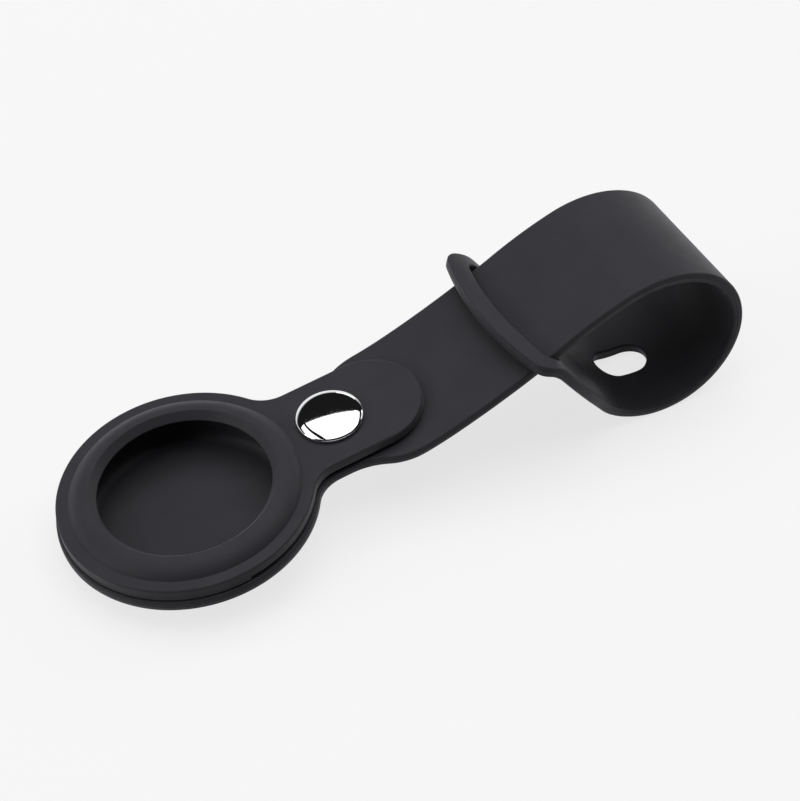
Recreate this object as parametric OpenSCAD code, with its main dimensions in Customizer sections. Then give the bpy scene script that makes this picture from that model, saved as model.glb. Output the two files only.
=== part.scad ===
// Tracker tag holder: a silicone case with a snap-down front, on a strap that is threaded
// through its own slotted end.
// The case is drawn with the middle of its front face at zero and the strap along +X.
// place() then lays the holder on the ground, on the rim of its dish and the bottom of its loop.

/* [Tag] */
// Diameter of the tag that the pocket holds
tag_d = 31.9; // [30:0.1:34]
// Thickness of the tag
tag_t = 8; // [7:0.1:9]
// How far the tag's front stands proud of the mouth's lip
tag_rise = 1.4; // [1:0.1:2]
// Gap round the tag
tag_play = 0.15; // [0.05:0.05:0.5]
// Gap between the tag's front and the lip
tag_gap = 0.2; // [0.1:0.05:0.5]

/* [Front cover] */
// Width of the cover's flange outside the pocket
flange_w = 3.25; // [2.8:0.05:5]
// Thickness of the cover's flange and tab
cover_t = 1.5; // [1.2:0.1:2]
// Rounding of the cover's upper edge
cover_round = 0.5; // [0.2:0.05:0.7]
// How far the lip reaches in over the pocket, which leaves the round mouth
lip_w = 3; // [2:0.1:4]
// Thickness of the lip's edge
lip_t = 0.35; // [0.2:0.05:0.6]
// Width of the bevel from the lip's edge up to the ring's crown
bevel_w = 1.2; // [0.8:0.1:1.6]
// Height of the raised ring over the flange
ring_h = 1.7; // [1:0.1:2.5]
// How far the raised ring's foot lies outside the pocket
ring_out = 1.4; // [0.8:0.1:2.2]
// Rounding between the bevel and the ring's crown
rim_round = 0.3; // [0.2:0.05:0.5]
// Height of the lip's lower edge over the flange
lip_z = 0.3; // [0.1:0.05:0.7]
// Depth at which the lip's underside meets the pocket's wall
lip_drop = 0.5; // [0.3:0.1:1]
// Depth of the skirt that bonds the cover to the case back
skirt_h = 0.8; // [0.5:0.1:1.2]
// Where the bonded half ends and the flap begins, along X
notch_x = 1; // [0:0.5:4]
// Width of the slit drawn where the flap bends
slit = 0.1; // [0.05:0.05:0.2]

/* [Tab] */
// Half width of the tab
tab_half_w = 8.5; // [7.5:0.1:9.5]
// Distance from the snap to the middle of the tab's round end
tab_lead = 6.2; // [5.5:0.1:8]
// Distance from the strap's first bend to the tab's
tab_bend_lead = 2.7; // [2:0.1:4]
// Radius of that bend
tab_bend_r = 80; // [60:5:120]
// Radius of the fillets where the neck leaves the flange
neck_fillet = 5.5; // [4:0.5:8]

/* [Case back] */
// How far the case back's flange stands out beyond the cover's
back_reach = 0.4; // [0.2:0.05:0.6]
// Thickness of the case back's flange
back_t = 1.7; // [1.4:0.1:2.2]
// Rounding of the case back's edges
back_round = 0.4; // [0.2:0.05:0.6]
// Thickness of the dish's wall
dish_wall = 1.2; // [1:0.1:1.6]
// Thickness of the dish's floor
floor_t = 1.3; // [1:0.1:2]
// Inside rounding between the dish's wall and floor
dish_round = 1.8; // [1:0.1:2.5]
// Distance from the case back's edge in to the parting of case back and strap
seam_in = 0.95; // [0.6:0.05:1.5]

/* [Strap] */
// Width of the strap
strap_w = 22.8; // [20:0.2:26]
// Thickness of the strap
strap_t = 1.7; // [1.4:0.1:2.2]
// Rounding of the strap's edges
strap_round = 0.45; // [0.2:0.05:0.6]
// Half width of the neck under the tab
neck_half_w = 8.4; // [7.5:0.1:9.5]
// How far before the snap the neck begins to widen
flare_lead = 1.3; // [0.6:0.1:1.8]
// Length over which the neck widens
flare_len = 11; // [8:0.5:14]
// Distance from the snap to the strap's first bend
lift_lead = 4; // [3.8:0.1:5]
// Radius at which the strap lifts off behind the snap
lift_r = 52; // [48:1:58]
// Turn of that lift, in degrees
lift_angle = 12; // [11:0.1:13]
// Radius of the long rise
rise_r = 133.6; // [120:0.4:150]
// Turn of the long rise, in degrees
rise_angle = 9.1; // [8:0.1:10]
// Radius of the long crest
crest_r = 62; // [56:1:70]
// Turn of the long crest, in degrees
crest_angle = 10.5; // [10:0.1:12]
// Radius of the loop's shoulder
shoulder_r = 17; // [15:0.5:19]
// Turn of the loop's shoulder, in degrees
shoulder_angle = 45.4; // [44:0.1:47]
// Radius of the loop's front
front_r = 13.6; // [12:0.2:15]
// Turn of the loop's front, in degrees
front_angle = 52.2; // [51:0.1:54]
// Turn of the loop's underside up to the parting of strap and slotted end, in degrees
under_angle = 78; // [74:1:82]
// The rest of that turn, in degrees
under_rest_angle = 13; // [11:0.2:15]
// Radius where the loop turns up again
return_r = 14.1; // [13:0.1:15.5]
// Turn where the loop turns up again, in degrees
return_angle = 63.4; // [62:0.2:65]

/* [Slotted end] */
// Distance along the strap from the tail's crossing to the crest
cross_lead = 3.5; // [2.5:0.1:4.5]
// Radius at which the slotted end bends back over the strap
tail_r = 7; // [6:0.25:8]
// Turn of the slotted end before it meets the strap, in degrees
tail_angle = 10; // [8:1:13]
// Turn of the slotted end beyond the strap, in degrees
tail_rest_angle = 37; // [33:1:40]
// Gap on each side of the strap in the slot
slot_side_gap = 0.5; // [0.3:0.1:0.8]
// Gap under the strap in the slot
slot_low_gap = 0.25; // [0.2:0.05:0.4]
// Gap over the strap in the slot
slot_high_gap = 1.85; // [1.5:0.05:2.3]
// Turn from the strap on to the line that the slot is cut square to, in degrees
slot_angle = 10; // [8:1:12]
// Radius to which the slot's far edge is bowed
slot_bow_r = 45; // [35:1:60]
// Rounding of the slot's corners
slot_round = 1.2; // [0.8:0.1:1.6]
// Width of the rails beside the slot
rail_w = 3.1; // [2.5:0.1:3.6]
// Width of the bar that closes the slot
bar_w = 2.9; // [2.5:0.1:4]
// Radius to which the bar's outer edge is bowed
bow_r = 50; // [40:1:65]
// Rounding of the bar's outer corners
bar_round = 2.5; // [2:0.1:3.5]
// Length over which the strap widens into the slotted end
widen_len = 24; // [20:1:26]

/* [Key-ring hole] */
// Length of the hole along the strap
key_len = 9.3; // [7.5:0.1:11]
// Width of the hole across the strap
key_w = 6; // [4.5:0.1:7.5]
// Turn from the foot of the return bend to the middle of the hole, in degrees
key_angle = 14.5; // [12:0.5:18]

/* [Snap] */
// Gap between the cover's edge and the recess for the socket
snap_clear = 0.45; // [0.2:0.05:1]
// Radius of the cap
cap_r = 5.15; // [4.8:0.05:5.5]
// Height of the cap
cap_h = 1.45; // [1.2:0.05:1.8]
// Rounding of the cap's rolled edge
cap_roll = 0.45; // [0.3:0.05:0.55]
// Radius of the cap's barrel
barrel_r = 1.5; // [1.3:0.05:1.7]
// Thickness of the metal sheet
sheet_t = 0.3; // [0.25:0.05:0.35]
// Radius of the socket
socket_r = 4.4; // [4.2:0.1:4.6]
// Depth of the socket
socket_h = 1.2; // [1.15:0.05:1.25]
// Depth at which the socket is let into the tab
socket_sink = 0.5; // [0.4:0.05:0.6]
// Radius of the socket's mouth
socket_mouth_r = 2.35; // [2.2:0.05:2.45]
// Radius of the spring's wire
spring_wire_r = 0.22; // [0.18:0.01:0.24]
// Opening of the spring ring, in degrees
spring_angle = 30; // [20:5:50]
// Radius of the stud's head
stud_head_r = 1.9; // [1.8:0.05:2]
// Radius of the stud's neck
stud_neck_r = 1.7; // [1.6:0.05:1.75]
// Radius of the stud's plate
stud_plate_r = 4; // [3.6:0.1:4.2]
// Depth at which the stud is let into the strap
stud_sink = 0.6; // [0.5:0.05:0.7]
// Thickness of the stud's plate
stud_plate_t = 0.4; // [0.3:0.05:0.5]
// Radius of the post's tube
post_r = 1.25; // [1.1:0.05:1.3]
// Radius of the post's flange
post_flange_r = 3.8; // [3.2:0.1:4]
// Gap between parts that only just clear each other
snap_gap = 0.1; // [0.05:0.01:0.12]

/* [Hidden] */
$fn = 96;
silicone = [0.13, 0.13, 0.14];
chrome = [0.8, 0.8, 0.82];
nickel = [0.62, 0.62, 0.64];
over = 1; // overrun of every cut
fillet_bite = 0.01; // bite of the neck's fillets into the flange

// Case
pocket_r = tag_d / 2 + tag_play;
cover_r = pocket_r + flange_w;
back_r = cover_r + back_reach;
seam_z = -cover_t - skirt_h;
back_z = seam_z - back_t;
floor_z = lip_z - tag_gap - (tag_t - tag_rise);
dish_z = floor_z - floor_t;
dish_r = pocket_r + dish_wall;
corner_r = dish_round + dish_wall;
mouth_r = pocket_r - lip_w;
crown_r = mouth_r + bevel_w;
crown_w = pocket_r + ring_out - crown_r;
crown_arc = arc_radius(crown_w, ring_h);

// Places along the neck
snap_x = cover_r + snap_clear + snap_gap + socket_r;
seam_x = back_r - seam_in;
flare_x = snap_x - flare_lead;
flat_len = snap_x + lift_lead;
tab_reach = snap_x + tab_lead;
tab_bend_x = flat_len + tab_bend_lead;

// Radius of an arc that starts level and falls by h over a length w
function arc_radius(w, h) = (w * w + h * h) / (2 * h);

// Strap's middle line: runs of [radius, turn], or [length, 0] where it is straight.
// A point on it is [x, z, heading], and a turn to the left is positive.
function arc_step(heading, turn) =
  sign(turn) * [sin(heading + turn) - sin(heading), cos(heading) - cos(heading + turn)];
function after(p, run) =
  let (d = run[1] == 0 ? [cos(p[2]), sin(p[2])] : arc_step(p[2], run[1]))
  [p[0] + run[0] * d[0], p[1] + run[0] * d[1], p[2] + run[1]];
function ends(runs, p, i = 0) =
  i == len(runs) ? [p] : concat([p], ends(runs, after(p, runs[i]), i + 1));
function last(list) = list[len(list) - 1];
function span(run) = run[1] == 0 ? run[0] : run[0] * abs(run[1]) * PI / 180;
function sum(list, n, i = 0) = i >= n ? 0 : list[i] + sum(list, n, i + 1);

strap_z = seam_z - strap_t / 2;
start = [seam_x, strap_z, 0];
upper_runs = [
  [flat_len - seam_x, 0],
  [lift_r, lift_angle],
  [rise_r, rise_angle],
  [crest_r, -crest_angle],
  [shoulder_r, -shoulder_angle],
  [front_r, -front_angle]
];
front_end = last(ends(upper_runs, start));

// The loop closes where the tail meets the strap: the radius of its underside and the length
// of its straight tail follow from the other bends.
rise_start = ends(upper_runs, start)[2];
lead_angle = cross_lead / span([rise_r, rise_angle]) * rise_angle;
cross_point = after(rise_start, [rise_r, rise_angle - lead_angle]);
under_all_angle = under_angle + under_rest_angle;
return_head = front_end[2] - under_all_angle;
tail_head = return_head - return_angle;
v_under = arc_step(front_end[2], -under_all_angle);
v_tail = [cos(tail_head), sin(tail_head)];
v_rest = return_r * arc_step(return_head, -return_angle) + tail_r * arc_step(tail_head, tail_angle);
v_gap = [cross_point[0] - front_end[0] - v_rest[0], cross_point[1] - front_end[1] - v_rest[1]];
det = v_under[0] * v_tail[1] - v_under[1] * v_tail[0];
under_r = (v_gap[0] * v_tail[1] - v_gap[1] * v_tail[0]) / det;
tail_len = (v_under[0] * v_gap[1] - v_under[1] * v_gap[0]) / det;

// Slotted end, measured along the tail from the crossing
cross_head = tail_head + tail_angle;
cut_angle = cross_head + slot_angle - cross_point[2];
strap_reach = strap_t / 2 * (1 + abs(cos(cut_angle))) / abs(sin(cut_angle));
slot_low = strap_reach + slot_low_gap;
slot_high = strap_reach + slot_high_gap;
slot_half_w = strap_w / 2 + slot_side_gap;
end_half_w = slot_half_w + rail_w;
tail_rest_len = tail_r * tail_rest_angle * PI / 180;
bar_straight = slot_high + bar_w - tail_rest_len;

runs = concat(upper_runs, [
  [under_r, -under_angle],
  [under_r, -under_rest_angle],
  [return_r, -return_angle],
  [tail_len, 0],
  [tail_r, tail_angle],
  [tail_r, tail_rest_angle],
  [bar_straight, 0]
]);
marks = ends(runs, start);
spans = [for (run = runs) span(run)];
BOTTOM = len(upper_runs); // the mark where the loop's underside begins
UNDER = BOTTOM + 1; // the mark where strap and slotted end part
RETURN = UNDER + 1; // the mark at the foot of the return bend
TAIL = RETURN + 2; // the mark at the top of the straight tail
CROSS = TAIL + 1; // the mark where the tail meets the strap
s_tail = sum(spans, TAIL);

// Point on the strap's middle line at a distance s along it
function at(s, i = 0) =
  s <= spans[i] || i == len(runs) - 1
    ? after(marks[i], runs[i][1] == 0 ? [s, 0] : [runs[i][0], runs[i][1] * s / spans[i]])
    : at(s - spans[i], i + 1);

// Half width of the strap at a distance s along it: fillet, neck, flare, strap and slotted end
fillet_y = neck_half_w + neck_fillet;
fillet_x = sqrt(pow(back_r + neck_fillet, 2) - fillet_y * fillet_y);
function s_bend(u, length, rise) =
  let (r = arc_radius(length / 2, rise / 2))
  u <= 0 ? 0 : u >= length ? rise
    : u < length / 2 ? r - sqrt(r * r - u * u) : rise - r + sqrt(r * r - pow(length - u, 2));
function half_w(s) =
  let (x = seam_x + s)
  x < fillet_x ? fillet_y - sqrt(pow(neck_fillet, 2) - pow(fillet_x - x, 2))
    : neck_half_w + s_bend(x - flare_x, flare_len, strap_w / 2 - neck_half_w)
      + s_bend(s - s_tail + widen_len, widen_len, end_half_w - strap_w / 2);

// Ground: the line under the dish's rounded corner and the loop's underside
under_c = arc_centre(marks[BOTTOM], under_r);
corner_c = [-dish_r + corner_r, dish_z + corner_r];
loop_r = under_r + strap_t / 2;
ground_d = under_c - corner_c;
ground_angle = atan2(ground_d[1], ground_d[0]) - asin((loop_r - corner_r) / norm(ground_d));
ground_z = corner_c[1] * cos(ground_angle) - corner_c[0] * sin(ground_angle) - corner_r;
left_x = (back_round - back_r) * cos(ground_angle) + (seam_z - back_round) * sin(ground_angle)
  - back_round;
right_x = under_c[0] * cos(ground_angle) + under_c[1] * sin(ground_angle) + loop_r;
// Centre of a bend to the right that starts at point p
function arc_centre(p, r) = [p[0] + r * sin(p[2]), p[1] - r * cos(p[2])];

module place() {
  translate([-(left_x + right_x) / 2, 0, -ground_z]) rotate([0, ground_angle, 0]) children();
}

// Puts a drawing on the strap's middle line at mark p: its x runs along the line, its y across
// the strap and its z out of the strap's outer face
module on_line(p) {
  translate([p[0], 0, p[1]]) rotate([0, -p[2], 0]) children();
}

// Everything on one side of the notch, from x0 towards the side given by 1 or -1
module beyond(x0, side) {
  reach = 2 * tab_reach;
  translate([x0 + side * reach / 2, 0, 0]) cube(reach, center = true);
}

// Edge of a plate whose top is at zero, with w from the edge inwards and its corners rounded
module edge_profile(w, t, top, bottom) {
  translate([0, bottom - t]) square([w, t - top - bottom]);
  translate([0, -t]) square([w - max(top, bottom), t]);
  translate([w - top, -top]) circle(top);
  if (bottom > 0) translate([w - bottom, bottom - t]) circle(bottom);
}

// Neck in plan, from inside a flange of radius r to x = to, with its two fillets. The fillets
// bite into the flange by fillet_bite, so that the two outlines cross cleanly.
module neck_plan(r, half, to) {
  fy = half + neck_fillet;
  fx = sqrt(pow(r + neck_fillet, 2) - fy * fy);
  foot = (dish_r + r) / 2 / (r + neck_fillet);
  x = min(fx, to);
  difference() {
    polygon([
      [foot * fx, -foot * fy], [x, -x * fy / fx], [x, -half], [to, -half],
      [to, half], [x, half], [x, x * fy / fx], [foot * fx, foot * fy]
    ]);
    circle((pocket_r + dish_r) / 2);
    for (side = [-1, 1]) translate([fx, side * fy]) circle(neck_fillet + fillet_bite);
  }
}

// Point where the line from p meets a circle at its top, without crossing it
function touch_point(p, c, r) =
  let (d = p - c, a = atan2(d[1], d[0]) - acos(r / norm(d)))
  c + r * [cos(a), sin(a)];

// Raised ring with its rounded crown, the bevel down to the mouth and the lip that holds the
// tag in
module ring_profile() {
  rim = [crown_r, ring_h - rim_round];
  edge = [mouth_r, lip_z + lip_t];
  difference() {
    union() {
      intersection() {
        translate([crown_r, ring_h - crown_arc]) circle(crown_arc);
        translate([crown_r, -cover_t]) square([crown_w, cover_t + ring_h]);
      }
      polygon([
        [mouth_r, -cover_t], [crown_r, -cover_t], rim, touch_point(edge, rim, rim_round), edge
      ]);
      translate(rim) circle(rim_round);
    }
    polygon([
      [0, lip_z], [mouth_r, lip_z], [pocket_r, -lip_drop], [pocket_r, -cover_t - over],
      [0, -cover_t - over]
    ]);
  }
}

module cover_profile() {
  ring_profile();
  translate([pocket_r, 0]) edge_profile(flange_w, cover_t, cover_round, 0);
}

module front_cover() {
  color(silicone) place() intersection() {
    rotate_extrude() {
      cover_profile();
      translate([pocket_r, seam_z]) square([flange_w, skirt_h]);
    }
    beyond(notch_x - slit / 2, -1);
  }
}

module tab_plan() {
  neck_plan(cover_r, tab_half_w, tab_reach);
  translate([tab_reach, 0]) circle(tab_half_w);
}

// Tab seen from its side, flat under the snap and bent up over the strap beyond it
module tab_side() {
  translate([0, -cover_t]) square([tab_bend_x, cover_t]);
  translate([tab_bend_x, tab_bend_r]) intersection() {
    difference() {
      circle(tab_bend_r + cover_t);
      circle(tab_bend_r);
    }
    translate([0, -tab_bend_r - cover_t]) square([tab_reach, tab_bend_r]);
  }
}

module cover_flap() {
  color(silicone) place() {
    intersection() {
      rotate_extrude() cover_profile();
      beyond(notch_x + slit / 2, 1);
    }
    intersection() {
      rotate([90, 0, 0]) linear_extrude(2 * cover_r, center = true) tab_side();
      union() {
        translate([0, 0, -2 * cover_t]) linear_extrude(cover_t + socket_sink) difference() {
          tab_plan();
          translate([snap_x, 0]) circle(socket_r + snap_gap);
        }
        translate([0, 0, socket_sink - cover_t]) linear_extrude(2 * cover_t) difference() {
          tab_plan();
          translate([snap_x, 0]) circle(barrel_r + snap_gap);
        }
      }
    }
  }
}

// Dish that holds the tag, from the seam down
module dish_profile() {
  difference() {
    union() {
      translate([0, dish_z + corner_r]) square([dish_r, seam_z - dish_z - corner_r]);
      translate([0, dish_z]) square([dish_r - corner_r, corner_r]);
      translate([dish_r - corner_r, dish_z + corner_r]) circle(corner_r);
    }
    translate([0, floor_z + dish_round]) square([pocket_r, -floor_z]);
    translate([0, floor_z]) square([pocket_r - dish_round, -floor_z]);
    translate([pocket_r - dish_round, floor_z + dish_round]) circle(dish_round);
  }
}

module case_back() {
  color(silicone) place() {
    intersection() {
      rotate_extrude() {
        dish_profile();
        translate([pocket_r, seam_z])
          edge_profile(back_r - pocket_r, back_t, back_round, back_round);
      }
      beyond(seam_x, -1);
    }
    translate([0, 0, back_z]) linear_extrude(back_t) neck_plan(back_r, neck_half_w, seam_x);
  }
}

// Section of the strap, as points [out of the face, across the strap]
corner_steps = 3;
function section(half) = [
  for (q = [0:3], k = [0:corner_steps])
    let (a = 90 * (q + k / corner_steps), sx = q == 0 || q == 3 ? 1 : -1, sy = q < 2 ? 1 : -1)
    [sx * (strap_t / 2 - strap_round) + strap_round * cos(a),
     sy * (half - strap_round) + strap_round * sin(a)]
];

// Band swept along the middle line through the given distances, with its edges rounded
module band(stops) {
  n = 4 * (corner_steps + 1);
  points = [
    for (s = stops) let (p = at(s))
      for (q = section(half_w(s))) [p[0] - q[0] * sin(p[2]), q[1], p[1] + q[0] * cos(p[2])]
  ];
  sides = [
    for (i = [0:len(stops) - 2], k = [0:n - 1]) let (j = (k + 1) % n)
      for (f = [[i * n + k, i * n + j, i * n + n + j], [i * n + k, i * n + n + j, i * n + n + k]]) f
  ];
  first_cap = [for (k = [n - 1:-1:0]) k];
  last_cap = [for (k = [0:n - 1]) (len(stops) - 1) * n + k];
  polyhedron(points, concat([first_cap], sides, [last_cap]));
}

// Distances from a to b in n even steps, without b
function stops_in(a, b, n) = [for (i = [0:n - 1]) a + (b - a) * i / n];
function stops_over(first, counts, i = 0) =
  i == len(counts) ? [sum(spans, first + i)]
    : concat(stops_in(sum(spans, first + i), sum(spans, first + i + 1), counts[i]),
             stops_over(first, counts, i + 1));

module strap() {
  flare_end = flare_x + flare_len - seam_x;
  color(silicone) place() difference() {
    band(concat(
      stops_in(0, flare_end, 18),
      stops_in(flare_end, sum(spans, 2), 2),
      stops_over(2, [4, 3, 8, 9, 13])
    ));
    translate([snap_x, 0, seam_z - stud_sink])
      cylinder(r = stud_plate_r + snap_gap, h = stud_sink + strap_t);
    translate([snap_x, 0, seam_z - 2 * strap_t]) cylinder(r = post_r + snap_gap, h = 2 * strap_t);
  }
}

// Oval with round ends, along x
module oval(length, width) {
  square([length - width, width], center = true);
  for (side = [-1, 1]) translate([side * (length - width) / 2, 0]) circle(width / 2);
}

function arc_points(c, r, from, to, n) =
  [for (i = [0:n]) let (a = from + (to - from) * i / n) [c[0] + r * cos(a), c[1] + r * sin(a)]];

// Edge bowed to the radius bow through the middle, from one side to the other, with its two
// rounded corners
function bowed_edge(half, round, bow) =
  let (a = asin((half - round) / (bow - round)), cx = (bow - round) * cos(a) - bow)
  concat(
    arc_points([cx, round - half], round, -90, -a, 6),
    arc_points([-bow, 0], bow, -a, a, 12),
    arc_points([cx, half - round], round, a, 90, 6)
  );

// Slot from x = low to high, with its far edge bowed
module bowed_slot(low, high) {
  polygon(concat(
    [for (q = bowed_edge(slot_half_w, slot_round, slot_bow_r)) [q[0] + high, q[1]]],
    arc_points([low + slot_round, slot_half_w - slot_round], slot_round, 90, 180, 6),
    arc_points([low + slot_round, slot_round - slot_half_w], slot_round, 180, 270, 6)
  ));
}

// Cuts through the strap at mark p, to the depth reach on both sides of its middle line
module cut_at(p, reach) {
  on_line(p) translate([0, 0, -reach]) linear_extrude(2 * reach) children();
}

module strap_end() {
  high_angle = slot_high / tail_r * 180 / PI;
  color(silicone) place() difference() {
    band(stops_over(UNDER, [2, 11, 10, 3, 7, 2]));
    cut_at(after(marks[RETURN], [return_r, -key_angle]), strap_t) oval(key_len, key_w);
    cut_at(after(marks[CROSS], [tail_r, slot_angle]), 2 * strap_t)
      bowed_slot(-tail_r * sin(slot_angle) - slot_low, tail_r * sin(high_angle - slot_angle));
    cut_at(last(marks), strap_t) polygon(concat(bowed_edge(end_half_w, bar_round, bow_r), [
      [-bar_round, end_half_w + over], [over, end_half_w + over],
      [over, -end_half_w - over], [-bar_round, -end_half_w - over]
    ]));
  }
}

module snap_cap() {
  dome = arc_radius(cap_r - cap_roll, cap_h - 2 * cap_roll);
  flare_z = -cover_t + socket_sink - sheet_t;
  color(chrome) place() translate([snap_x, 0, 0]) rotate_extrude() {
    translate([cap_r - cap_roll, cap_roll]) circle(cap_roll);
    square([cap_r - cap_roll, 2 * cap_roll]);
    intersection() {
      translate([0, cap_h - dome]) circle(dome);
      square([cap_r - cap_roll, cap_h]);
    }
    translate([barrel_r - sheet_t, flare_z]) square([sheet_t, -flare_z]);
    translate([barrel_r - sheet_t, flare_z - sheet_t / 2])
      square([2 * sheet_t, sheet_t / 2]);
  }
}

module snap_socket() {
  top_z = -cover_t + socket_sink;
  low_z = top_z - socket_h;
  color(nickel) place() translate([snap_x, 0, 0]) rotate_extrude() {
    translate([barrel_r + snap_gap / 2, top_z - sheet_t])
      square([socket_r - sheet_t - barrel_r - snap_gap / 2, sheet_t]);
    translate([socket_r - sheet_t, low_z + sheet_t]) square([sheet_t, socket_h - 2 * sheet_t]);
    translate([socket_r - sheet_t, top_z - sheet_t]) circle(sheet_t);
    translate([socket_r - sheet_t, low_z + sheet_t]) circle(sheet_t);
    translate([socket_mouth_r, low_z]) square([socket_r - sheet_t - socket_mouth_r, sheet_t]);
  }
}

module snap_spring() {
  ring_r = stud_head_r + snap_gap + spring_wire_r;
  z = -cover_t + socket_sink - socket_h + sheet_t + spring_wire_r + snap_gap / 2;
  color(nickel) place() translate([snap_x, 0, z]) rotate([0, 0, 180 + spring_angle / 2])
    rotate_extrude(angle = 360 - spring_angle) translate([ring_r, 0]) circle(spring_wire_r, $fn = 32);
}

module snap_stud() {
  plate_z = seam_z - stud_sink;
  head_z = -cover_t + socket_sink - sheet_t * 3 / 2 - snap_gap;
  bulb = stud_head_r - stud_neck_r;
  color(nickel) place() translate([snap_x, 0, 0]) rotate_extrude() difference() {
    union() {
      translate([0, plate_z]) square([stud_plate_r, stud_plate_t]);
      translate([0, plate_z]) square([stud_neck_r, head_z - plate_z - bulb]);
      translate([stud_neck_r, head_z - 2 * bulb]) circle(bulb);
      translate([0, head_z - 2 * bulb]) square([stud_neck_r, bulb]);
      translate([0, head_z - 2 * bulb]) square([stud_neck_r - bulb, 2 * bulb]);
      translate([stud_neck_r - bulb, head_z - bulb]) circle(bulb);
    }
    translate([0, plate_z]) square([post_r + snap_gap / 2, head_z - plate_z - sheet_t]);
  }
}

module snap_post() {
  top_z = -cover_t + socket_sink - sheet_t * 3 / 2 - snap_gap - sheet_t - snap_gap / 2;
  under_z = seam_z - strap_t;
  color(nickel) place() translate([snap_x, 0, 0]) rotate_extrude() {
    translate([post_r - sheet_t, under_z - sheet_t])
      square([sheet_t, top_z - under_z + sheet_t]);
    translate([post_r - sheet_t, under_z - sheet_t])
      square([post_flange_r - post_r, sheet_t]);
    translate([post_flange_r - sheet_t, under_z - sheet_t / 2]) circle(sheet_t / 2);
  }
}

front_cover();
cover_flap();
case_back();
strap();
strap_end();
snap_cap();
snap_socket();
snap_spring();
snap_stud();
snap_post();
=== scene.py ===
"""Looks for the tracker tag holder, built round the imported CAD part.

The shapes repeat the CAD part's sizes, in millimetres and degrees, in the case's own frame: the
middle of its front face is at zero, +X runs along the strap and +Z out of the face. place() lays
them on the ground as the CAD part does.
"""

import math

import bpy
import numpy as np
from mathutils import Matrix, Vector
from mathutils.geometry import delaunay_2d_cdt


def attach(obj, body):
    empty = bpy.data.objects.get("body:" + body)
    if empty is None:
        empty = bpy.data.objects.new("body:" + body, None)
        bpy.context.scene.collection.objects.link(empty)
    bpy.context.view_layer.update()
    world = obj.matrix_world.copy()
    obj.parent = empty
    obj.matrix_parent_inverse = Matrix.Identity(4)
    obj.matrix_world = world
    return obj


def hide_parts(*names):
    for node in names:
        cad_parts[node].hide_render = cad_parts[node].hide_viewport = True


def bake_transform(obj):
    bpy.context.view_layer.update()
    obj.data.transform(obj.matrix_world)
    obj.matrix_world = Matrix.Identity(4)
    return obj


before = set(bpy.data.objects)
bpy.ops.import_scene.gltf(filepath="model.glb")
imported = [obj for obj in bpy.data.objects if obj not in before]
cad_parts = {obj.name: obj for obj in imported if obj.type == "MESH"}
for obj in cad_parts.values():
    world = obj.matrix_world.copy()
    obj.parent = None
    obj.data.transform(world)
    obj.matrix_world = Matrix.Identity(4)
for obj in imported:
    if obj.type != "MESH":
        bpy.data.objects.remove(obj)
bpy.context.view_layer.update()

MM = 0.001  # in metres

# The tag, its play in the pocket, and how far it stands out of it
TAG_D = 31.9
TAG_T = 8.0
TAG_RISE = 1.4
TAG_PLAY = 0.15
TAG_GAP = 0.2

# Front cover's flange, and the skirt between it and the case back, with its groove
FLANGE_W = 3.25
COVER_T = 1.5
COVER_ROUND = 0.35  # crisper than the CAD part's
UNDER_ROUND = 0.06
SKIRT_H = 0.8
NOTCH_X = 1.0
GROOVE_H = 0.3
GROOVE_IN = 0.45
GROOVE_ROUND = 0.12

# Raised ring, and the lip that holds the tag
BEVEL_W = 1.2
RING_H = 1.7
RING_OUT = 1.4
RIM_ROUND = 0.3
LIP_W = 3.0
LIP_T = 0.35
LIP_Z = 0.3
LIP_DROP = 0.5
LIP_HEEL = 0.1

# Tab
TAB_HALF_W = 8.5
TAB_LEAD = 6.2
TAB_BEND_LEAD = 2.7
TAB_BEND_R = 80.0
NECK_FILLET = 5.5

# Case back and its dish
BACK_REACH = 0.4
BACK_T = 1.7
BACK_ROUND = 0.4
DISH_WALL = 1.2
DISH_ROUND = 1.8
DISH_FILLET = 0.5
FLOOR_T = 1.3
SEAM_IN = 0.95

# Strap, with the runs of its middle line as (radius, turn)
STRAP_W = 22.8
STRAP_T = 1.7
STRAP_ROUND = 0.45
MOULD_RIDGE = 0.035
NECK_HALF_W = 8.4
FLARE_LEAD = 1.3
FLARE_LEN = 11.0
LIFT_LEAD = 4.0
LIFT = (52.0, 12.0)
RISE = (133.6, 9.1)
CREST = (62.0, -10.5)
SHOULDER = (17.0, -45.4)
FRONT = (13.6, -52.2)
UNDER_ANGLE = 91.0
RETURN_R = 14.1
RETURN_ANGLE = 63.4
CROSS_LEAD = 3.5
TAIL_R = 7.0
TAIL_ANGLE = 10.0
TAIL_REST_ANGLE = 37.0

# Slotted end, whose edges turn crisp past the slot
WIDEN_LEN = 24.0
SLOT_SIDE_GAP = 0.5
SLOT_LOW_GAP = 0.25
SLOT_HIGH_GAP = 1.85
SLOT_ANGLE = 10.0
SLOT_BOW_R = 45.0
SLOT_ROUND = 1.2
RAIL_W = 3.1
BAR_W = 2.9
BOW_R = 50.0
BAR_ROUND = 2.5
CRISP_ROUND = 0.16
CRISP_LEAD = 1.5
CRISP_LEN = 2.0

# Key-ring hole
KEY_LEN = 9.3
KEY_W = 6.0
KEY_ANGLE = 14.5
HOLE_ROUND = 0.3

# Press stud
SNAP_CLEAR = 0.45
SNAP_GAP = 0.1
SHEET_T = 0.3
CAP_R = 5.15
CAP_H = 1.45
CAP_ROLL = 0.45
RIM_ANGLE = 60.0
DOME_ANGLE = 83.0
BARREL_R = 1.5
SOCKET_R = 4.4
SOCKET_SINK = 0.5
STUD_PLATE_R = 4.0
STUD_SINK = 0.6
POST_R = 1.25

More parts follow.
